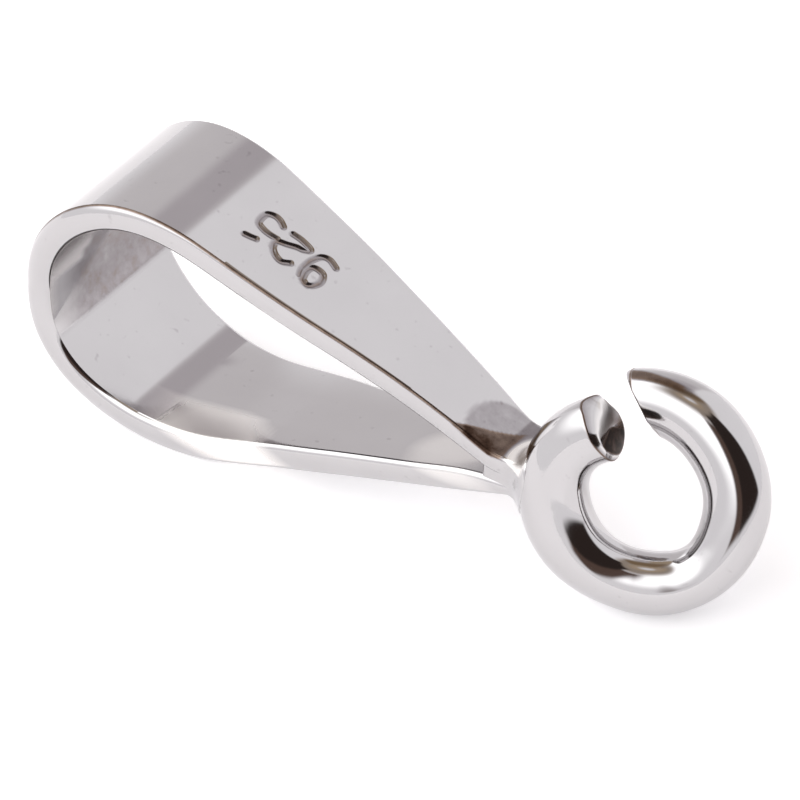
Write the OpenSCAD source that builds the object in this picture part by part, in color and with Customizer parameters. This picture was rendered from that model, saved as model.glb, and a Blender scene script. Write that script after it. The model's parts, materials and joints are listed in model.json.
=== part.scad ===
/* [Band] */
// Outside height of the band's round end, where the chain passes
loop_d = 4.4; // [3.6:0.1:6]
// Thickness of the folded strip
strip_t = 0.42; // [0.3:0.02:0.6]
// Distance from the round end's centre to where the legs close on each other
leg_reach = 5.7; // [4.5:0.1:8]
// Width of the strip at the fold, its widest place
fold_w = 2.84; // [2:0.02:4]
// Width of the strip where its legs close
tip_w = 0.98; // [0.8:0.02:1.4]
// How far the strip's long edges bow outwards from a straight taper
edge_bow = 0.15; // [0.05:0.01:0.3]
// Length of the doubled tab between the closed legs and the ring
tab_l = 0.34; // [0.2:0.02:0.6]

/* [Ring] */
// Diameter of the jump ring's wire
wire_d = 1; // [0.8:0.02:1.2]
// Inside diameter of the jump ring
eye_d = 1.7; // [1.5:0.05:2.6]
// Sideways lean of the ring away from the band's axis, in degrees
ring_lean = 25; // [0:1:28]
// Upward lean of the ring away from the band's axis, in degrees
ring_rise = 1; // [0:1:8]
// Turn of the ring about the band's axis, in degrees
ring_twist = -31; // [-36:1:0]
// Bend of the near end out of the ring's plane, from the ring's opening by a twist, in degrees
near_bend = 40; // [0:1:45]
// Bend of the free end out of the ring's plane to the other side, in degrees
far_bend = 14; // [0:1:25]
// Turn round the ring from the solder joint to the near cut end, in degrees
cut_turn = 56; // [50:1:70]
// Opening between the two cut ends, in degrees
cut_gap = 25; // [22:1:40]
// Slope of the two facets that the cutter leaves on each wire end, in degrees
pinch_slope = 31; // [20:1:36]
// Slant of the free end's ridge, in degrees
pinch_slant = 22; // [0:1:26]

/* [Solder] */
// Diameter of the solder bead between the tab and the ring
bead_d = 1.16; // [1.1:0.02:1.3]
// How far the bead's centre lies inside the wire's edge
bead_sink = 0.04; // [0:0.02:0.1]
// How far the tab's end is let into the wire
tab_seat = 0.12; // [0.06:0.02:0.2]

/* [Smoothness] */
// Segments of a full circle
$fn = 96; // [48:8:144]

/* [Hidden] */
silver = [0.85, 0.85, 0.84];
loop_r = loop_d / 2;
hollow_r = loop_r - strip_t;
wire_r = wire_d / 2;
ring_r = eye_d / 2 + wire_r;
// Half the angle between the legs, whose inner faces touch the round end and meet on the axis
leg_angle = asin(hollow_r / leg_reach);
// Where the closed legs end and the ring's wire is centred, along the band's axis
tab_end = leg_reach + tab_l;
solder_x = tab_end + wire_r;

// Plan outline: two arcs through the fold and the tip, bowed outwards
taper = (fold_w - tip_w) / 2;
plan_l = loop_r + leg_reach;
chord = sqrt(plan_l ^ 2 + taper ^ 2);
edge_r = chord ^ 2 / (8 * edge_bow) + edge_bow / 2;
chord_mid = [(leg_reach - loop_r) / 2, (fold_w + tip_w) / 4];
edge_centre = chord_mid - (edge_r - edge_bow) * [taper, plan_l] / chord;
// The edges are short arcs of large circles, which take more segments
edge_fn = 8 * $fn;

// The ring's own directions: away from the solder joint, and along its axis
ring_out = [cos(ring_rise) * cos(ring_lean), cos(ring_rise) * sin(ring_lean), sin(ring_rise)];
ring_side = [-sin(ring_lean), cos(ring_lean), 0];
ring_axis = ring_side * cos(ring_twist) + cross(ring_out, ring_side) * sin(ring_twist);
ring_centre = [solder_x, 0, 0] + ring_r * ring_out;
near_cut = 180 + cut_turn;
free_cut = near_cut + cut_gap;
// Turns at which the wire's place is taken to find how far the ring reaches
turn_step = 1;
wire_turns = [each [turn_step : turn_step : near_cut], each [free_cut : turn_step : 360]];

// A vector after the whole bail is pitched, ring end down
function pitched(v, pitch) =
    [v.x * cos(pitch) + v.z * sin(pitch), v.y, v.z * cos(pitch) - v.x * sin(pitch)];
// Middle of the wire at a turn, in the ring's own directions. The near end is bent about the wire's
// line at the solder joint, and the free end about its line opposite the joint.
function bent(turn) =
    let (c = cos(turn), y = ring_r * sin(turn))
    turn <= 180 ? [ring_r * c, y, 0]
    : turn <= near_cut ? ring_r * [(1 + c) * cos(near_bend) - 1, 0, -(1 + c) * sin(near_bend)] + [0, y, 0]
    : ring_r * [1 - (1 - c) * cos(far_bend), 0, (1 - c) * sin(far_bend)] + [0, y, 0];
function wire_point(turn) =
    let (p = bent(turn)) ring_centre + p.x * ring_out + p.y * cross(ring_axis, ring_out) + p.z * ring_axis;
// Furthest points of the wire's skin along one direction, one for each turn
function wire_reach(way) = [
    for (turn = wire_turns)
    let (along = wire_point(turn + turn_step / 2) - wire_point(turn - turn_step / 2))
    wire_point(turn) * way + wire_r * sqrt(1 - (along * way / norm(along)) ^ 2)
];
// A direction of the resting bail, in the bail's own directions
function at_rest(way, pitch) = pitched(way, -pitch);
// Height of the ring's lowest point at a pitch
function ring_low(pitch) = -max(wire_reach(at_rest([0, 0, -1], pitch)));
// The pitch at which the ring and the round end stand on one level, found by halving a range
function rest_pitch(low, high, turns) =
    let (mid = (low + high) / 2)
    turns == 0 ? mid
    : ring_low(mid) > -loop_r ? rest_pitch(mid, high, turns - 1)
    : rest_pitch(low, mid, turns - 1);
least_pitch = -15;
most_pitch = 30;
halvings = 24;
pitch = rest_pitch(least_pitch, most_pitch, halvings);

// The middle of the space that the bail fills at rest
high_x = max(wire_reach(at_rest([1, 0, 0], pitch)));
high_y = max(fold_w / 2, max(wire_reach([0, 1, 0])));
low_y = min(-fold_w / 2, -max(wire_reach([0, -1, 0])));
middle = [(high_x - loop_r) / 2, (high_y + low_y) / 2, -loop_r];

// Side view of a round end with two legs that close at the given reach
module teardrop(r, reach) {
    tangent = [r * sin(leg_angle), r * cos(leg_angle)];
    circle(r);
    polygon([tangent, [reach, 0], [tangent.x, -tangent.y]]);
}

// Side view of the folded strip: the lower leg runs on straight to the ring, and the upper leg
// is bent level where the two meet, so that both make the doubled tab
module side_view() {
    difference() {
        union() {
            intersection() {
                teardrop(loop_r, loop_r / sin(leg_angle));
                translate([-loop_r, -loop_r]) square([loop_r + tab_end + tab_seat, loop_d]);
            }
            translate([leg_reach - strip_t, 0]) square([tab_l + tab_seat + strip_t, strip_t]);
        }
        teardrop(hollow_r, leg_reach);
    }
}

// Plan view of the strip, between its two bowed edges
module plan_view() {
    intersection() {
        translate(edge_centre) circle(edge_r, $fn = edge_fn);
        mirror([0, 1]) translate(edge_centre) circle(edge_r, $fn = edge_fn);
        translate([-loop_d, -fold_w]) square([loop_d + tab_end + wire_d, 2 * fold_w]);
    }
}

module band() {
    intersection() {
        rotate([90, 0, 0]) linear_extrude(2 * fold_w, center = true) side_view();
        linear_extrude(2 * loop_d, center = true) plan_view();
    }
}

// The two blocks that pinch a wire end to a ridge, which lies along X; they stand on the +Y side
module pinch(slant) {
    deep = wire_r * (sin(pinch_slope) + tan(abs(slant))) + wire_r / 20;
    rotate([0, 0, slant])
    for (side = [-1, 1]) {
        rotate([side * pinch_slope, 0, 0])
        translate([-wire_d, 0, side > 0 ? -wire_d : 0])
        cube([2 * wire_d, deep, wire_d]);
    }
}

// The ring's wire from the X axis round to a turn, pinched off there
module wire_end(turn, slant) {
    spare = wire_r * tan(slant) / ring_r * 180 / PI;
    difference() {
        wire_arc(turn + spare);
        rotate([0, 0, turn]) translate([ring_r, 0, 0]) pinch(slant);
    }
}

module wire_arc(turn) {
    rotate_extrude(angle = turn) translate([ring_r, 0]) circle(wire_r);
}

// What it holds is turned about the wire's line, which crosses the X axis at the given place
module about_wire(x, bend) {
    translate([x, 0, 0]) rotate([0, bend, 0]) translate([-x, 0, 0]) children();
}

module ring() {
    translate([solder_x, 0, 0])
    rotate([0, 0, ring_lean])
    rotate([0, -ring_rise, 0])
    rotate([ring_twist, 0, 0])
    translate([ring_r, 0, 0])
    rotate([-90, 0, 0])
    union() {
        wire_arc(180);
        about_wire(-ring_r, near_bend) rotate([0, 0, 180]) wire_end(cut_turn, 0);
        about_wire(ring_r, far_bend) mirror([0, 1, 0]) wire_end(360 - free_cut, pinch_slant);
    }
}

module solder() {
    translate([tab_end + bead_sink, 0, 0]) sphere(d = bead_d);
}

module bail() {
    color(silver)
    translate(-middle)
    rotate([0, pitch, 0])
    union() {
        band();
        solder();
        ring();
    }
}

bail();
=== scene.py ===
import json
import math
import bpy
import numpy as np
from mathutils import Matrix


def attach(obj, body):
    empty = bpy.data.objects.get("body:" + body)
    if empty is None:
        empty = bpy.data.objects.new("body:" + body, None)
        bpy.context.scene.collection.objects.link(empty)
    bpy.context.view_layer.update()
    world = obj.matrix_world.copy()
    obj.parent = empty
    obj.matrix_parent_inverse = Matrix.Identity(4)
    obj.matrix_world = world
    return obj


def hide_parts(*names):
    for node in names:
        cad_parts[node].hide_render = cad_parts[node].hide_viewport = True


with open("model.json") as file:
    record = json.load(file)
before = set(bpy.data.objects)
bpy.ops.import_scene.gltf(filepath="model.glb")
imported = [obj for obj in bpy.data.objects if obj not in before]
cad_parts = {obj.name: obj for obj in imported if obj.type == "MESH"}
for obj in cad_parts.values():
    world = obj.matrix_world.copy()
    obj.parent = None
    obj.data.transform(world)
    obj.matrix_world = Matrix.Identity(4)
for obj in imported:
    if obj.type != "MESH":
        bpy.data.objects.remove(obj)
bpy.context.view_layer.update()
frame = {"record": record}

# All shapes are worked out in millimetres in the bail's own directions: x from the round end
# towards the ring, y across the strip to the far side, z up. place() lays them in the row frame.
lie = {
    "pitch": 4.57,   # degrees that the ring end is down when the bail lies on a table
    "metre": 0.001,  # metres in a millimetre
}


def place(points):
    # turned about y by the pitch, then moved so that the round end's middle meets the chain's path
    p = np.asarray(points, float)
    c, s = math.cos(math.radians(lie["pitch"])), math.sin(math.radians(lie["pitch"]))
    tunnel = next(m for m in frame["record"]["mounts"] if m["name"] == "chain_tunnel")["pos_m"]
    turned = np.stack([p[..., 0] * c + p[..., 2] * s, p[..., 1], p[..., 2] * c - p[..., 0] * s], -1)
    return turned * lie["metre"] + np.array(tunnel)


def smoothTable(x, at, values):
    # a cubic between each two stations, with slopes taken from the neighbouring stations
    at, values = np.asarray(at, float), np.asarray(values, float)
    slope = np.gradient(values, at)
    k = np.clip(np.searchsorted(at, x) - 1, 0, len(at) - 2)
    step = at[k + 1] - at[k]
    t = np.clip((x - at[k]) / step, 0, 1)
    return ((1 + 2 * t) * (1 - t) ** 2 * values[k] + t * (1 - t) ** 2 * step * slope[k]
            + t ** 2 * (3 - 2 * t) * values[k + 1] + t ** 2 * (t - 1) * step * slope[k + 1])


def ease(t):
    # 0 to 1 with level ends: 3t squared less 2t cubed
    t = np.clip(t, 0, 1)
    return t * t * (3 - 2 * t)


def spread(counts, marks):
    # samples between marks, with its own count of steps for each stretch
    parts = [np.linspace(a, b, n, endpoint=False) for a, b, n in zip(marks[:-1], marks[1:], counts)]
    return np.concatenate(parts + [[marks[-1]]])


def skin(name, rings, tarnish_and_painted_light, crease=40):
    # rings of points, each closed on itself; the first and the last ring shrink to one point each
    rings = np.asarray(rings, float)
    n, m = rings.shape[:2]
    inner = rings[1:-1].reshape(-1, 3)
    points = place(np.vstack([rings[0].mean(0)[None], inner, rings[-1].mean(0)[None]]))
    j = np.arange(m)
    k = (j + 1) % m
    rows = 1 + np.arange(n - 3)[:, None] * m
    quads = np.stack([rows + j, rows + k, rows + m + k, rows + m + j], -1).reshape(-1, 4)
    last = 1 + (n - 3) * m
    start = np.stack([np.zeros(m, int), 1 + k, 1 + j], -1)
    end = np.stack([np.full(m, len(points) - 1), last + j, last + k], -1)
    mesh = bpy.data.meshes.new(name)
    mesh.from_pydata(points.tolist(), [], quads.tolist() + start.tolist() + end.tolist())
    a, b, c = points[quads[:, 0]], points[quads[:, 1]], points[quads[:, 3]]
    if np.sum(np.cross(b - a, c - a) * a) < 0:  # the signed volume says whether the faces point inwards
        mesh.flip_normals()
    mesh.polygons.foreach_set("use_smooth", np.ones(len(mesh.polygons), bool))
    mesh.set_sharp_from_angle(angle=math.radians(crease))
    dull = np.concatenate([tarnish_and_painted_light[0, :1], tarnish_and_painted_light[1:-1].ravel(), tarnish_and_painted_light[-1, :1]])
    mesh.attributes.new("tarnish_and_painted_light", "FLOAT", "POINT").data.foreach_set("value", dull)
    mesh.update()
    piece = bpy.data.objects.new(name, mesh)
    bpy.context.scene.collection.objects.link(piece)
    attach(piece, "root")
    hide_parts("bail")
    print(name, "has", len(mesh.polygons), "faces")
    return piece


strip = {
    "fold": (-2.272, -0.12),      # the leftmost point of the strip's outer face, x and z
    # distance along the outer face from the fold, and the way that it runs there in degrees
    "turns": (
        (-10.2, 201), (-9.2, 200), (-8, 198.4), (-7, 198), (-6.1, 198.5), (-5.35, 201), (-4.6, 198),
        (-4.1, 190), (-3.6, 181.8), (-3.1, 171.8), (-2.6, 161.5), (-1.6, 136), (-0.6, 107.5), (0.4, 80.5),
        (1.4, 56.5), (2.4, 30.5), (3.4, 3), (3.9, -7.4), (4.4, -15.8), (4.9, -17.8), (5.4, -17.3),
        (6.2, -17), (7, -17.8), (8, -20.5), (8.9, -23.4), (9.35, -24.6), (9.5, -22), (9.7, -4), (9.9, 0),
        (10.2, 0),
    ),
    # half the width by distance from the fold, and the thickness of the upper and the lower leg
    "halfWidth": (
        (0, 1.38), (0.8, 1.42), (1.6, 1.4), (2.4, 1.335), (3.1, 1.27), (4.1, 1.178), (5.35, 1.05),
        (6.15, 0.954), (7.1, 0.813), (8.1, 0.677), (9.1, 0.562), (9.6, 0.505), (10.3, 0.45),
    ),
    "upperThick": ((0, 0.445), (5, 0.428), (7, 0.412), (8, 0.395), (9.6, 0.36), (10.3, 0.34)),
    "lowerThick": ((0, 0.445), (5, 0.428), (7, 0.412), (8, 0.395), (9.2, 0.36), (9.6, 0.28), (10.2, 0.14)),
    "drift": 0.026,               # mm that the strip's middle lies to the far side
    # mm, rounding of the rim towards the outer face, by distance along the outer face
    "outerRound": ((-10, 0.05), (-4, 0.06), (-2, 0.1), (1, 0.11), (3, 0.08), (5, 0.055), (10, 0.05)),
    "innerRound": 0.085,          # mm, rounding of the rim towards the hollow
    # mm that the cut edge bulges, by distance along the outer face
    "crown": ((-10, 0.03), (-4.5, 0.035), (-2.5, 0.06), (3, 0.06), (4.5, 0.035), (10, 0.03)),
    "tips": (-10.25, 10.12),      # where the lower and the upper leg end, mm from the fold
    "steps": (10.3, 4121),        # how far the line is worked out each way, and with how many points
    # stations along the strip and columns across it, closest where the numerals are
    "along": ((-4.6, 4.55, 6.15), (60, 130, 150, 70)),
    "across": ((-1, -0.46, 0.38, 1), (12, 84, 12)),
    "numerals": (4.5, 6.2),       # stretch along the outer face that holds the numerals
    # the brown line along the near rim, a painted reflection: its level, its stretch along the outer face,
    # and its width, mm
    "painted_rim_reflection": {"tarnish_and_painted_light": 0.62, "from": -2.5, "to": 9.6, "wide": 0.072},
    # Inside the curl there is painted shade, a darker reflection of the shaded floor, from a level border up
    # and between two distances along the outer face. Past a slanted line by the near rim (y at height 0,
    # and its slope) the curl has a paler painted highlight instead, from a height of its own.
    "curl": {"border": -0.93, "from": -3, "to": 4, "film_and_painted_light": 0.3,
             "slant": (-0.63, 0.81), "painted_highlight": -0.2, "painted_highlight_from": -0.75},
}


def stripLine(s):
    # the outer face seen from the side: its direction is tabled, and its points are the running sum of it
    reach, count = strip["steps"]
    fine = np.linspace(-reach, reach, count)
    turn = np.radians(smoothTable(fine, *np.array(strip["turns"]).T))
    way = np.stack([np.cos(turn), np.sin(turn)], 1)
    step = fine[1] - fine[0]
    run = np.vstack([[0, 0], np.cumsum((way[1:] + way[:-1]) / 2 * step, 0)])
    run += np.array(strip["fold"]) - run[np.argmin(abs(fine))]
    x, z = np.interp(s, fine, run[:, 0]), np.interp(s, fine, run[:, 1])
    t = np.interp(s, fine, turn)
    return np.stack([x, z], -1), np.stack([np.sin(t), -np.cos(t)], -1)  # points, and the inward direction


numerals = {
    # engraved strokes: distance along the outer face from the fold, and place across the strip, mm
    "strokes": (
        ((4.69, -0.38), (4.78, -0.35), (4.86, -0.315)),
        ((5.07, -0.065), (4.93, -0.09), (4.82, -0.09), (4.71, -0.055), (4.67, 0.04), (4.68, 0.18),
         (4.78, 0.245), (4.89, 0.24), (4.99, 0.19)),
        ((5.17, 0.2), (5.33, 0.215), (5.53, 0.18), (5.46, 0.095), (5.36, 0.055), (5.23, -0.02),
         (5.09, -0.1), (5.11, -0.205), (5.18, -0.285), (5.28, -0.335), (5.38, -0.335), (5.48, -0.255)),
        ((5.99, 0.215), (5.84, 0.26), (5.73, 0.22), (5.67, 0.1), (5.65, -0.045), (5.66, -0.2),
         (5.71, -0.31)),
        ((5.78, -0.345), (5.88, -0.375), (5.96, -0.315), (6.0, -0.175), (5.95, -0.045), (5.84, -0.02),
         (5.75, -0.06), (5.73, -0.185), (5.78, -0.345)),
    ),
    "reach": 0.072,  # mm from a stroke's middle to the groove's rim
    "depth": 0.024,  # mm
    "lip": 0.002,    # mm that the metal is pushed up beside a groove
    "tarnish_and_painted_light": 0.36,
}


def toStroke(x, y, stroke):
    # distance of each point (x, y) from a stroke, which is smoothed and then taken as short straight bits
    at = np.arange(len(stroke))
    fine = np.linspace(0, at[-1], 8 * at[-1] + 1)
    p = np.stack([smoothTable(fine, at, column) for column in np.array(stroke).T], 1)
    a, ab = p[:-1], p[1:] - p[:-1]
    here = np.stack([x, y], -1)[..., None, :] - a
    t = np.clip((here * ab).sum(-1) / (ab ** 2).sum(-1), 0, 1)
    return np.linalg.norm(here - t[..., None] * ab, axis=-1).min(-1)


def engraving(x, y):
    # depth of the numerals: a squared cosine across each stroke, with a low bell-shaped lip outside it
    d = np.min([toStroke(x, y, stroke) for stroke in numerals["strokes"]], 0)
    q = d / numerals["reach"]
    groove = np.where(q < 1, np.cos(np.minimum(q, 1) * math.pi / 2) ** 2, 0)
    return numerals["depth"] * groove - numerals["lip"] * np.exp(-((q - 1.25) / 0.3) ** 2)


film_and_painted_light = {
    # middle x, y, z and reach in x, y, z (mm), level, softness as a share of the reach. A level above zero
    # is tarnish or painted reflection; below zero it stands for scuffed metal, solder or a painted highlight,
    # which is paler and rougher.
    "patches": (
        ((5.7, -0.1, 0.4), (0.78, 0.6, 0.35), 0.24, 0.1),     # a painted reflection of the ring, grey, where the legs close
        ((4.7, -0.25, -0.36), (1.1, 0.6, 0.25), -0.2, 0.8),   # scuffed inside the lower leg
        ((1.0, -0.82, -1.62), (1.4, 0.46, 0.4), -0.45, 0.7),  # a painted highlight, paler, near the lower leg's rim
        ((6.12, -0.2, 0.4), (0.27, 0.42, 0.32), -0.8, 0.5),   # solder in the corner by the ring
    ),
    # the olive patch, a painted reflection of the ring and the dark things by the camera: a point of its
    # slanted border and the border's slope, where it ends towards the ring, its level, and how much darker it
    # is along the near rim, from so far across
    "painted_reflection": {"border": (5.06, -0.47, 0.88), "end": 5.9, "level": 0.36, "more": 0.3, "near": -0.12},
    # the top face of the closed legs: it starts at x, its height there, and its rise per mm before a bend
    "top": {"from": 4.6, "height": 0.29, "bend": 5.62, "rise": 0.5},
}


def patches(points):
    # Each patch is an ellipsoid with a soft edge. The olive patch, a painted reflection, lies between three
    # soft lines. On the closed legs all of them lie on the top face alone, above a height that falls towards
    # the ring.
    dull = np.zeros(points.shape[:-1])
    for middle, reach, level, soft in film_and_painted_light["patches"]:
        far = np.linalg.norm((points - np.array(middle)) / np.array(reach), axis=-1)
        dull += level * ease((1 + soft / 2 - far) / soft)
    x, y, z = np.moveaxis(points, -1, 0)
    painted_reflection, top = film_and_painted_light["painted_reflection"], film_and_painted_light["top"]
    x0, y0, slope = painted_reflection["border"]
    # painted reflection: the olive patch, darker along the near rim
    shape = ease((slope * (x - x0) + y0 - y) / 0.06) * ease((painted_reflection["end"] - x) / 0.16) * ease((z - 0.1) / 0.1)
    darker = ease((painted_reflection["near"] - y) / 0.3) * ease((painted_reflection["end"] - 0.1 - x) / 0.25)
    dull += shape * (painted_reflection["level"] + painted_reflection["more"] * darker)
    height = top["height"] + top["rise"] * np.maximum(0, top["bend"] - x)
    return dull * np.where((x > top["from"]) & (z > -0.05), ease((z - height) / 0.03 + 1), 1)


def stripSection(s, half, thick, across):
    # one closed ring of (y, depth) pairs for each station: outer face, far rim, inner face, near rim.
    # A rim is two quarter turns joined by a bulging edge, deepest in its middle.
    crown = smoothTable(s, *np.array(strip["crown"]).T)
    ro = np.minimum(smoothTable(s, *np.array(strip["outerRound"]).T), thick * 0.4)
    ri = np.minimum(strip["innerRound"], thick * 0.4)
    one = np.ones_like(half)
    t = np.linspace(0, math.pi / 2, 7)
    u = np.linspace(0, 1, 9)[1:-1]
    outY, outD = across * (half - ro), 0 * across * one
    c1y, c1d = half - ro + ro * np.sin(t), ro - ro * np.cos(t)
    edgeY, edgeD = half * one + 0 * u, ro + u * (thick - ro - ri)
    c2y, c2d = half - ri + ri * np.cos(t), thick - ri + ri * np.sin(t)
    back = across[::-12]
    backY, backD = back * (half - ri), thick + 0 * back
    rimY = np.concatenate([c1y[:, 1:], edgeY, c2y[:, :-1]], 1)
    rimD = np.concatenate([c1d[:, 1:], edgeD, c2d[:, :-1]], 1)
    q = np.clip(rimD / thick, 0, 1)
    rimY = rimY + crown * (4 * q * (1 - q)) ** 1.5 - crown * 0.4
    y = np.concatenate([outY, rimY, backY, -rimY[:, ::-1]], 1)
    d = np.concatenate([outD, rimD, backD, rimD[:, ::-1]], 1)
    return y, d


def buildStrip():
    # the section carried along the folded line, closed at both tips by rings that shrink to a point
    lo, hi = strip["tips"]
    marks, counts = strip["along"]
    s = spread(counts, (lo, *marks, hi))[:, None]
    marks, counts = strip["across"]
    across = spread(counts, marks)
    distance = abs(s)
    half, upper, lower = (smoothTable(distance, *np.array(strip[k]).T)
                          for k in ("halfWidth", "upperThick", "lowerThick"))
    y, depth = stripSection(s, half, np.where(s > 0, upper, lower), across)
    outer, inward = stripLine(s[:, 0])
    first, last = strip["numerals"]
    marked = np.ix_(np.nonzero((s[:, 0] > first) & (s[:, 0] < last))[0], np.arange(len(across)))
    cut = engraving(s[marked[0][:, 0]] + 0 * y[marked], y[marked] + strip["drift"])
    depth[marked] += cut
    points = np.stack([outer[:, None, 0] + inward[:, None, 0] * depth, y + strip["drift"],
                       outer[:, None, 1] + inward[:, None, 1] * depth], -1)
    dull = patches(points)
    # the inner face's columns start with the far rim's last one
    inside = np.arange(len(across) + 18, len(across) + 20 + len(across[::-12]))
    wide, high = points[:, inside, 1], points[:, inside, 2]
    curl = strip["curl"]
    slantAt, slope = curl["slant"]
    # painted shade inside the curl, a reflection of the shaded floor; past the slant a paler painted
    # highlight
    painted_shade_share = ease((wide - slantAt - slope * high) / 0.12)
    painted_highlight_share = (1 - painted_shade_share) * ease((high - curl["painted_highlight_from"]) / 0.3)
    on = ease((high - curl["border"]) / 0.05) * ease((curl["to"] - s) / 1.5) * (s > curl["from"])
    dull[:, inside] += on * (curl["film_and_painted_light"] * painted_shade_share + curl["painted_highlight"] * painted_highlight_share)
    dull[marked] += numerals["tarnish_and_painted_light"] * np.clip(cut / numerals["depth"], 0, 1) ** 0.5
    # the brown line, a painted reflection, lies on the near rim's corner with the outer face: the last
    # columns of the section
    line = strip["painted_rim_reflection"]
    arc = smoothTable(s, *np.array(strip["outerRound"]).T) * np.radians(np.arange(90, 0, -15))
    on = ease((s - line["from"]) / 1.5) * ease((line["to"] - s) / 0.4) * ease((line["wide"] - arc) / 0.03)
    dull[:, -6:] = np.maximum(dull[:, -6:], line["tarnish_and_painted_light"] * on)
    middle = points.mean(1, keepdims=True)
    start = [middle[:1] + (points[:1] - middle[:1]) * k for k in (0, 0.5)]
    end = [middle[-1:] + (points[-1:] - middle[-1:]) * k for k in (0.5, 0)]
    tarnish_and_painted_light = np.concatenate([dull[:1], dull[:1], dull, dull[-1:], dull[-1:]])
    return skin("strip", np.concatenate([*start, points, *end]), tarnish_and_painted_light)


ring = {
    "joint": 6.558,               # mm from the round end's middle to the wire's middle at the solder joint
    # degrees: sideways, upwards, and about the bail's length
    "lean": 19.5,
    "rise": 5.5,
    "twist": -26.0,
    "middle": 1.358,              # mm from the joint to the ring's middle
    # The ring is open by a twist: the wire drifts along one direction, so many mm a turn, from one turn on
    "drift": (-0.40846, 0.61764, -0.67207),
    "perTurn": -1.25,
    "level": 95,
    # turn round the ring in degrees, distance of the wire's middle from the ring's, and the wire's radius
    "shape": (
        (-110, 1.398, 0.47), (-104, 1.397, 0.475), (-90, 1.39, 0.485), (-75, 1.378, 0.502),
        (-60, 1.358, 0.515), (-45, 1.334, 0.519), (-30, 1.324, 0.515), (-15, 1.327, 0.509),
        (0, 1.33, 0.502), (15, 1.332, 0.488), (30, 1.352, 0.466), (45, 1.373, 0.448), (60, 1.371, 0.455),
        (75, 1.356, 0.477), (90, 1.343, 0.483), (105, 1.345, 0.478), (120, 1.37, 0.489),
        (135, 1.399, 0.513), (150, 1.415, 0.53), (165, 1.422, 0.53), (180, 1.419, 0.516),
        (195, 1.384, 0.504), (210, 1.302, 0.499), (225, 1.186, 0.5), (240, 1.07, 0.503), (255, 0.96, 0.503),
    ),
    # Each cut end: turn where it is measured from; its face as lift, slope to the ring's outside, slope
    # along the ring's axis and bulge; the face's level, and how much darker its painted reflection makes it
    # around one turn about the wire, with that turn and half width in degrees; its bevel as turn about the
    # wire, share of the wire's radius that the face reaches, and how far out the wire's skin goes, mm
    "freeEnd": {
        "turn": -103.0,
        "face": (-0.13, 0.5, 0.0, 0.25),
        "film_and_painted_light": 0.15,
        "painted_dark_reflection": (0.5, 180, 70),
        "bevel": (
            (0, 0.92, -0.035), (60, 0.93, -0.1), (120, 0.93, -0.32), (180, 0.93, -0.5), (215, 0.93, -0.52),
            (230, 0.93, -0.436), (241, 0.93, -0.323), (259, 0.93, -0.19), (280, 0.93, -0.119),
            (297, 0.93, -0.074), (325, 0.92, -0.039), (345, 0.92, -0.027),
        ),
    },
    "nearEnd": {
        "turn": 240.0,
        "face": (-0.172, -0.123, 0.22, 0.1),
        "film_and_painted_light": -0.22,
        "painted_dark_reflection": (1.2, 175, 72),
        "bevel": (
            (9, 0.8, -0.29), (42, 0.72, -0.27), (82, 0.85, -0.22), (106, 0.97, -0.14), (130, 0.96, -0.13),
            (163, 0.9, -0.17), (200, 0.8, -0.24), (236, 0.82, -0.32), (253, 0.83, -0.361),
            (267, 0.79, -0.379), (286, 0.62, -0.38), (309, 0.55, -0.385), (332, 0.51, -0.409),
            (346, 0.54, -0.4), (356, 0.64, -0.36),
        ),
    },
    "rim": 0.022,                 # mm, softening of the ends' edges
    # a painted reflection, a dark band, from the free end's point along the ring: turn, and its middle and
    # half width about the wire
    "painted_reflection": (
        (-104, 338, 14), (-97, 334, 12), (-92, 331, 10), (-87, 328, 9), (-80, 324, 8), (-72, 321, 8),
        (-60, 316, 6),
    ),
    "painted_reflection_level": 0.62,
}


def ringFrame():
    # away from the joint, the third direction, and the ring's axis
    lean, rise, twist = (math.radians(ring[k]) for k in ("lean", "rise", "twist"))
    out = np.array([math.cos(rise) * math.cos(lean), math.cos(rise) * math.sin(lean), math.sin(rise)])
    side = np.array([-math.sin(lean), math.cos(lean), 0])
    axis = side * math.cos(twist) + np.cross(out, side) * math.sin(twist)
    return out, np.cross(axis, out), axis


def ringDrift(a):
    # how far the twist has carried the wire at a turn: a share of the drift for each degree
    turns = (np.asarray(a, float) - ring["level"]) / 360
    return ring["perTurn"] * turns[..., None] * np.array(ring["drift"])


def ringSize(a):
    # distance of the wire's middle from the ring's, and the wire's radius, at a turn
    turn, radius, wire = np.array(ring["shape"]).T
    return smoothTable(a, turn, radius), smoothTable(a, turn, wire)


def ringLine(a):
    # the wire's middle at a turn: a circle of changing radius, carried along by the drift
    out, third = ringFrame()[:2]
    c, s = np.cos(np.radians(a))[..., None], np.sin(np.radians(a))[..., None]
    middle = np.array([ring["joint"], 0, 0]) + ring["middle"] * out
    return middle + ringSize(a)[0][..., None] * (c * out + s * third) + ringDrift(a)


def ringPoint(a, u, v):
    # a point beside the wire's middle: u to the ring's outside, v along the ring's axis
    axis = ringFrame()[2]
    way = ringLine(a + 0.5) - ringLine(a - 0.5)
    way /= np.linalg.norm(way, axis=-1, keepdims=True)
    return ringLine(a) + u[..., None] * np.cross(way, axis) + v[..., None] * axis


def softCorner(before, corner, after, steps=5):
    # a quadratic curve that leaves one side of a corner and joins the other
    t = np.linspace(0, 1, steps)[:, None, None]
    return (1 - t) ** 2 * before + 2 * t * (1 - t) * corner + t ** 2 * after


def offTurn(b, middle):
    # degrees between a turn about the wire and a middle turn, the short way round
    return abs((np.degrees(b) - middle + 180) % 360 - 180)


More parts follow.
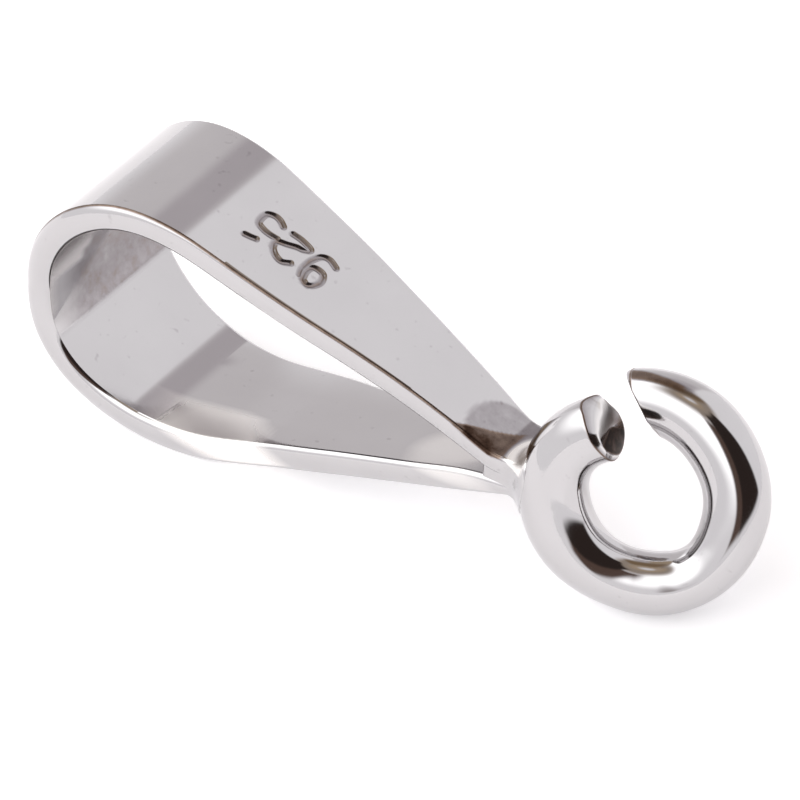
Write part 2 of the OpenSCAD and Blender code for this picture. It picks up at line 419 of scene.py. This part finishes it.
def ringEnd(end, b, sign):
    # Rings of points from the wire's skin over the bevel and the face to its middle, with the turn
    # that they start at and their levels of tarnish and painted reflection. The face is a tilted plane less a
    # bulge that grows with the distance squared.
    w = ringSize(end["turn"])[1]
    table = np.array(end["bevel"], float)
    at = np.concatenate([table[:, 0] - 360, table[:, 0], table[:, 0] + 360])
    share, skinOut = (smoothTable(np.degrees(b), at, np.tile(table[:, k], 3)) for k in (1, 2))
    lift, perSide, perAxis, bulge = end["face"]
    degrees = np.degrees(sign / ring["middle"])

    def facePoint(r):
        u, v = r * np.cos(b), r * np.sin(b)
        out = lift + perSide * u + perAxis * v - bulge * r * r
        return ringPoint(end["turn"] + degrees * out, u, v), out

    skinOut = np.minimum(skinOut, facePoint(w)[1])
    start = end["turn"] + degrees * (skinOut - ring["rim"])
    skinW = ringSize(start)[1]
    before = ringPoint(start, skinW * np.cos(b), skinW * np.sin(b))
    rim = ringPoint(end["turn"] + degrees * skinOut, skinW * np.cos(b), skinW * np.sin(b))
    ridge = facePoint(share * w)[0]
    over = ridge - rim
    wide = np.linalg.norm(over, axis=-1, keepdims=True)
    soft = over / wide * np.minimum(ring["rim"], wide * 0.4)
    face = np.stack([facePoint(share * w * k)[0] for k in (0.92, 0.8, 0.65, 0.5, 0.35, 0.2, 0.1, 0)])
    rings = np.concatenate([softCorner(before, rim, rim + soft)[1:],
                            softCorner(ridge - soft, ridge, face[0]), face[1:]])
    # levels: a brown line at the bevel's rim, which is a painted reflection, then the end's own level, and a
    # painted dark reflection that grows towards its face
    level, middle, half = end["painted_dark_reflection"]
    painted_dark_reflection = level * ease((half - offTurn(b, middle)) / 30 + 0.5)
    edge = np.array([0.3, 0.6, 0.6, 0.3])[:, None] + 0 * b
    growth = np.array([0, 0.2, 0.6, 0.9] + [1] * 8)[:, None]
    return start, rings, np.concatenate([edge, end["film_and_painted_light"] + growth * painted_dark_reflection])


def buildRing():
    # a round section carried along the ring's line, closed by the two cut ends
    b = np.radians(np.arange(0, 360, 2.5))
    first, firstRings, firstDull = ringEnd(ring["freeEnd"], b, -1)
    last, lastRings, lastDull = ringEnd(ring["nearEnd"], b, 1)
    a = first + (last - first) * np.linspace(0, 1, 241)[:, None]
    w = ringSize(a)[1]
    body = ringPoint(a, w * np.cos(b), w * np.sin(b))
    # painted reflection: a dark band along the wire from the free end's point
    at, middle, reach = np.array(ring["painted_reflection"]).T
    off = offTurn(b, smoothTable(a, at, middle)) / smoothTable(a, at, reach)
    # the strip's patches reach the wire faintly
    dull = ring["painted_reflection_level"] * ease(1.5 - off) * ease((-62 - a) / 22) + patches(body) * 0.3
    rings = np.concatenate([firstRings[::-1], body, lastRings])
    return skin("jump_ring", rings, np.concatenate([firstDull[::-1], dull, lastDull]))


solder = {
    "start": (6.0, 0.0, 0.0),     # a point inside the joint from which its skin is found
    "tab": (0.31, 0.485, 0.05),   # top of the tab, half its width at the start, and its rims' rounding, mm
    "taper": -0.02,               # change of that half width per mm towards the ring
    "under": (-0.347, 0.38),      # the tab's underside: height at the start, and its rise per mm
    "from": 5.53,                 # x where the solder begins between the legs
    "flow": 0.3,                  # mm, how far the solder runs up where the tab meets the wire
    "over": 0.004,                # mm that it stands over the metal that it covers
    "reach": 0.8,                 # mm, furthest from the start
    "grid": (120, 180, 160),      # directions from pole to pole, round, and steps outwards
}


def softLeast(a, b, k):
    # the smaller of two distances, with their crossing rounded over k
    h = np.clip(0.5 + 0.5 * (b - a) / k, 0, 1)
    return b * (1 - h) + a * h - k * h * (1 - h)


def jointField(p):
    # distance from the joint's skin, below zero inside: the tab and the wire, blended
    out, third, axis = ringFrame()
    top, half, rounding = solder["tab"]
    x = p[..., 0] - solder["start"][0]
    under, rise = solder["under"]
    tab = p[..., 2] - top
    for side in ((under + rise * x - p[..., 2]) / math.hypot(1, rise),
                 abs(p[..., 1] - strip["drift"]) - half - solder["taper"] * x,
                 solder["from"] - p[..., 0]):
        tab = -softLeast(-tab, -side, rounding * 1.6)
    q = p - (np.array([ring["joint"], 0, 0]) + ring["middle"] * out)
    a = np.degrees(np.arctan2(q @ third, q @ out)) % 360
    q = q - ringDrift(a)
    radius, wire = ringSize(a)
    ringSide = np.hypot(np.hypot(q @ out, q @ third) - radius, q @ axis) - wire
    return softLeast(tab, ringSide, solder["flow"]) - solder["over"]


def buildJoint():
    # the skin is looked for outwards from one point, along directions laid out as on a globe, and set
    # where the distance changes sign, by a straight line between the two steps beside it
    n, m, steps = solder["grid"]
    tilt = np.linspace(0, math.pi, n)[:, None]
    spin = np.linspace(0, 2 * math.pi, m, endpoint=False)
    way = np.stack([-np.cos(tilt) + 0 * spin, np.sin(tilt) * np.cos(spin), np.sin(tilt) * np.sin(spin)], -1)
    reach = np.linspace(0.02, solder["reach"], steps)
    field = jointField(np.array(solder["start"]) + way[:, :, None] * reach[:, None])
    outside = field > 0
    k = np.maximum(np.where(outside.any(-1), outside.argmax(-1), steps - 1), 1)
    after = np.take_along_axis(field, k[..., None], -1)[..., 0]
    before = np.take_along_axis(field, k[..., None] - 1, -1)[..., 0]
    share = np.where(after > 0, before / (before - after - 1e-12), 1)
    far = reach[k - 1] + (reach[k] - reach[k - 1]) * share
    points = np.array(solder["start"]) + way * far[..., None]
    return skin("solder_joint", points, patches(points))


print("strip, jump ring and solder")
pieces = [buildStrip(), buildRing(), buildJoint()]


def hexColour(text, gain=1.0):
    # sRGB hex to the linear values that nodes take
    parts = [int(text[k:k + 2], 16) / 255 for k in (1, 3, 5)]
    return [gain * (c / 12.92 if c <= 0.04045 else ((c + 0.055) / 1.055) ** 2.4) for c in parts] + [1]


def addNode(tree, kind, inputs=None, **settings):
    # one node with its settings; an input is either a value or another node's output
    node = tree.nodes.new(kind)
    for key, value in settings.items():
        setattr(node, key, value)
    for key, value in (inputs or {}).items():
        if isinstance(value, bpy.types.NodeSocket):
            tree.links.new(value, node.inputs[key])
        else:
            node.inputs[key].default_value = value
    return node


camera = {
    "place": (0.0402543, -0.0541937, 0.0574390),  # metres
    "turn": (50.395, 0.991, 35.9),                # degrees
    "lens": 266.68,                               # mm on a 36 mm wide film
}


def addCamera():
    # the photograph's viewing angle, from close above with a long lens
    data = bpy.data.cameras.new("photo_view")
    data.lens, data.sensor_width = camera["lens"], 36
    data.clip_start, data.clip_end = 0.001, 10
    eye = bpy.data.objects.new("photo_view", data)
    eye.location = camera["place"]
    eye.rotation_euler = [math.radians(v) for v in camera["turn"]]
    bpy.context.scene.collection.objects.link(eye)
    bpy.context.scene.camera = eye


studio = {
    "front": -53.4,           # world azimuth of the side that azimuth 0 below stands for, degrees
    "walls": ("#fffdff", 1.12),
    # soft cards seen from the bail: azimuth from and to, elevation from and to, softness of both,
    # colour, gain
    "cards": (
        (152, 216, 8, 120, 5, 26, "#e2dedf", 1.1),     # grey wall behind the round end
        (154, 176, 34, 72, 8, 16, "#c8c2c5", 1.1),     # its darker corner
        (173, 214, 52, 120, 10, 7, "#b09e88", 1.1),    # tan ceiling over the far wall
        (-180, 180, 66, 120, 10, 12, "#a5988c", 1.1),  # the rest of the ceiling
        (120, 205, 66, 120, 24, 10, "#857058", 1.1),   # which is browner at the far side
        (-180, 180, 80, 120, 10, 7, "#b5a28c", 1.1),   # and paler around the lamp
        (-180, 180, 86, 120, 10, 6, "#f1eff0", 1.1),   # the white lamp shade straight above
        (-140, -8, 27, 66, 12, 24, "#ffffff", 2.4),    # the big soft light
        (-6, 20, 8, 64, 8, 6, "#604e46", 1.1),         # brown and black things beside the camera
        (14, 76, 7, 73, 8, 6, "#342b28", 1.1),
    ),
}


def buildStudio():
    # the world by direction: each card is a product of three smooth steps, one in the angle from its
    # middle azimuth and one each at its lower and its upper edge
    world = bpy.data.worlds.new("soft_studio")
    bpy.context.scene.world = world
    world.use_nodes = True
    tree = world.node_tree
    way = addNode(tree, "ShaderNodeTexCoord").outputs["Generated"]
    part = addNode(tree, "ShaderNodeSeparateXYZ", {0: way}).outputs
    turn = addNode(tree, "ShaderNodeMath", {0: part[1], 1: part[0]}, operation="ARCTAN2").outputs[0]
    turn = addNode(tree, "ShaderNodeMath", {0: turn}, operation="DEGREES").outputs[0]
    rise = addNode(tree, "ShaderNodeMath", {0: part[2]}, operation="ARCSINE").outputs[0]
    rise = addNode(tree, "ShaderNodeMath", {0: rise}, operation="DEGREES").outputs[0]
    colour = hexColour(*studio["walls"])
    for a0, a1, e0, e1, softA, softE, hue, gain in studio["cards"]:
        middle = (a0 + a1) / 2 + studio["front"]
        off = addNode(tree, "ShaderNodeMath", {0: turn, 1: middle}, operation="SUBTRACT").outputs[0]
        off = addNode(tree, "ShaderNodeMath", {0: off, 1: 180, 2: -180}, operation="WRAP").outputs[0]
        off = addNode(tree, "ShaderNodeMath", {0: off}, operation="ABSOLUTE").outputs[0]
        share = 1.0
        for angle, edge, soft, first, last in ((off, (a1 - a0) / 2, softA, 1, 0), (rise, e0, softE, 0, 1),
                                               (rise, e1, softE, 1, 0)):
            step = addNode(tree, "ShaderNodeMapRange", {
                "Value": angle, "From Min": edge - soft / 2, "From Max": edge + soft / 2,
                "To Min": first, "To Max": last}, interpolation_type="SMOOTHSTEP").outputs[0]
            share = addNode(tree, "ShaderNodeMath", {0: share, 1: step}, operation="MULTIPLY").outputs[0]
        colour = addNode(tree, "ShaderNodeMix", {"Factor": share, "A": colour, "B": hexColour(hue, gain)},
                         data_type="RGBA").outputs["Result"]
    tree.links.new(colour, tree.nodes["Background"].inputs["Color"])


silverFinish = {
    # mm, sizes of the gloss's clouds and of its fine grain, and of dust, drawn a few times as coarse as
    # real dust, which wouldn't show
    "cloud": 1.1111,
    "grain": 0.1923,
    "dust": 0.14286,
    "dustFrom": (0.7, 0.82),           # noise at which a speck begins and is full
    "dustTarnish": 0.1,
    "clean": ("#c7c5c6", "#bebcbd"),   # the bare metal between its clouds and in them
    "pale": "#f6f3f0",                 # solder, scuffed metal and painted highlights
    "paleFrom": (-0.05, -0.35),        # attribute level at which that begins and is full
    # colour that multiplies the metal's, by the level of tarnish and painted reflection
    "film_and_painted_light": ((0, "#ffffff"), (0.3, "#c6c2c4"), (0.45, "#ad9989"), (0.65, "#89786d"), (0.85, "#5a463a"),
             (1, "#3a2a22")),
    "rough": (0.05, 0.11),             # between the clouds and in them
    "roughTarnish": 0.3,
    "roughPale": 0.4,
    # strength, and height in metres, of the faint waves and of the grain
    "waves": (0.12, 0.00001),
    "grainBump": (0.04, 0.000004),
}


def polishedSilver():
    # Sterling silver, tumbled to a polish: a mirror with a slightly cloudy gloss, faint waves and a few
    # specks of dust. The attribute says where it is tarnished or carries a painted reflection, olive-brown
    # and duller, or, below zero, where it is solder, scuffed or carries a painted highlight.
    f = silverFinish
    m = bpy.data.materials.new("polished_silver")
    m.use_nodes = True
    tree = m.node_tree
    shader = tree.nodes["Principled BSDF"]
    where = addNode(tree, "ShaderNodeTexCoord").outputs["Object"]
    cloud = addNode(tree, "ShaderNodeTexNoise", {
        "Vector": where, "Scale": 1 / (f["cloud"] * lie["metre"]), "Detail": 3}).outputs["Fac"]
    grain = addNode(tree, "ShaderNodeTexNoise", {
        "Vector": where, "Scale": 1 / (f["grain"] * lie["metre"]), "Detail": 4,
        "Roughness": 0.65}).outputs["Fac"]
    tarnish_and_painted_light = addNode(tree, "ShaderNodeAttribute", attribute_name="tarnish_and_painted_light").outputs["Fac"]
    # the tarnish and painted light are uneven where there is any: the grain scales them
    uneven = addNode(tree, "ShaderNodeMapRange", {
        "Value": grain, "From Min": 0.25, "From Max": 0.75, "To Min": 0.75, "To Max": 1.25}).outputs[0]
    dust = addNode(tree, "ShaderNodeTexNoise", {
        "Vector": where, "Scale": 1 / (f["dust"] * lie["metre"]), "Detail": 1}).outputs["Fac"]
    speck = addNode(tree, "ShaderNodeMapRange", {
        "Value": dust, "From Min": f["dustFrom"][0], "From Max": f["dustFrom"][1],
        "To Max": f["dustTarnish"]}).outputs[0]
    patchy = addNode(tree, "ShaderNodeMath", {0: tarnish_and_painted_light, 1: uneven, 2: speck},
                     operation="MULTIPLY_ADD").outputs[0]
    clean = addNode(tree, "ShaderNodeMix", {
        "Factor": cloud, "A": hexColour(f["clean"][0]), "B": hexColour(f["clean"][1])},
        data_type="RGBA").outputs["Result"]
    pale = addNode(tree, "ShaderNodeMapRange", {
        "Value": tarnish_and_painted_light, "From Min": f["paleFrom"][0], "From Max": f["paleFrom"][1]}).outputs[0]
    clean = addNode(tree, "ShaderNodeMix", {"Factor": pale, "A": clean, "B": hexColour(f["pale"])},
                    data_type="RGBA").outputs["Result"]
    filmNode = addNode(tree, "ShaderNodeValToRGB", {"Fac": patchy})
    for k, (at, hue) in enumerate(f["film_and_painted_light"]):
        stop = filmNode.color_ramp.elements[k] if k < 2 else filmNode.color_ramp.elements.new(at)
        stop.position, stop.color = at, hexColour(hue)
    colour = addNode(tree, "ShaderNodeMix", {"Factor": 1.0, "A": clean, "B": filmNode.outputs["Color"]},
                     data_type="RGBA", blend_type="MULTIPLY").outputs["Result"]
    tree.links.new(colour, shader.inputs["Base Color"])
    gloss = addNode(tree, "ShaderNodeMapRange", {
        "Value": cloud, "To Min": f["rough"][0], "To Max": f["rough"][1]}).outputs[0]
    gloss = addNode(tree, "ShaderNodeMath", {0: patchy, 1: f["roughTarnish"], 2: gloss},
                    operation="MULTIPLY_ADD").outputs[0]
    gloss = addNode(tree, "ShaderNodeMath", {0: pale, 1: f["roughPale"], 2: gloss},
                    operation="MULTIPLY_ADD", use_clamp=True).outputs[0]
    tree.links.new(gloss, shader.inputs["Roughness"])
    waves = addNode(tree, "ShaderNodeBump", {
        "Height": cloud, "Strength": f["waves"][0], "Distance": f["waves"][1]}).outputs["Normal"]
    normal = addNode(tree, "ShaderNodeBump", {
        "Height": grain, "Strength": f["grainBump"][0], "Distance": f["grainBump"][1],
        "Normal": waves}).outputs["Normal"]
    tree.links.new(normal, shader.inputs["Normal"])
    shader.inputs["Metallic"].default_value = 1
    return m


floor = {
    "radius": 1.0,                    # metres, wide enough to fill every view
    "sides": 96,
    "paper": ("#f4f3f5", "#f8f7f9"),  # between the fibres' clouds and in them
    "cloud": 2.5,                     # mm, size of those clouds
    # glow of the light table below the paper, on the big light's side and on the other
    "glow": (0.4, 0.33),
    "glowFrom": (-0.002, 0.003),      # metres along its direction at which it begins and ends to change
    "glowTurn": 0.45,                 # share of x in that direction, beside y
}


def palePaper():
    # bright matt paper on a light table: mostly lit, a little glowing, so that it stays white
    m = bpy.data.materials.new("pale_paper")
    m.use_nodes = True
    tree = m.node_tree
    shader = tree.nodes["Principled BSDF"]
    where = addNode(tree, "ShaderNodeTexCoord").outputs["Object"]
    cloud = addNode(tree, "ShaderNodeTexNoise", {
        "Vector": where, "Scale": 1 / (floor["cloud"] * lie["metre"]), "Detail": 2}).outputs["Fac"]
    colour = addNode(tree, "ShaderNodeMix", {
        "Factor": cloud, "A": hexColour(floor["paper"][0]), "B": hexColour(floor["paper"][1])},
        data_type="RGBA").outputs["Result"]
    tree.links.new(colour, shader.inputs["Base Color"])
    shader.inputs["Roughness"].default_value = 0.9
    shader.inputs["Specular IOR Level"].default_value = 0
    shader.inputs["Emission Color"].default_value = hexColour("#ffffff")
    part = addNode(tree, "ShaderNodeSeparateXYZ", {0: where}).outputs
    back = addNode(tree, "ShaderNodeMath", {0: part[0], 1: floor["glowTurn"], 2: part[1]},
                   operation="MULTIPLY_ADD").outputs[0]
    glow = addNode(tree, "ShaderNodeMapRange", {
        "Value": back, "From Min": floor["glowFrom"][0], "From Max": floor["glowFrom"][1],
        "To Min": floor["glow"][0], "To Max": floor["glow"][1]}, interpolation_type="SMOOTHSTEP").outputs[0]
    tree.links.new(glow, shader.inputs["Emission Strength"])
    return m


def buildFloor():
    # a flat disc
    around = np.linspace(0, 2 * math.pi, floor["sides"], endpoint=False)
    rim = floor["radius"] * np.stack([np.cos(around), np.sin(around), 0 * around], 1)
    mesh = bpy.data.meshes.new("table")
    mesh.from_pydata(rim.tolist(), [], [list(range(floor["sides"]))])
    table = bpy.data.objects.new("table", mesh)
    bpy.context.scene.collection.objects.link(table)
    table.data.materials.append(palePaper())


print("finish, studio and camera")
silver = polishedSilver()
for piece in pieces:
    piece.data.materials.append(silver)
buildStudio()
buildFloor()
addCamera()
bpy.context.scene.view_settings.view_transform = "Standard"
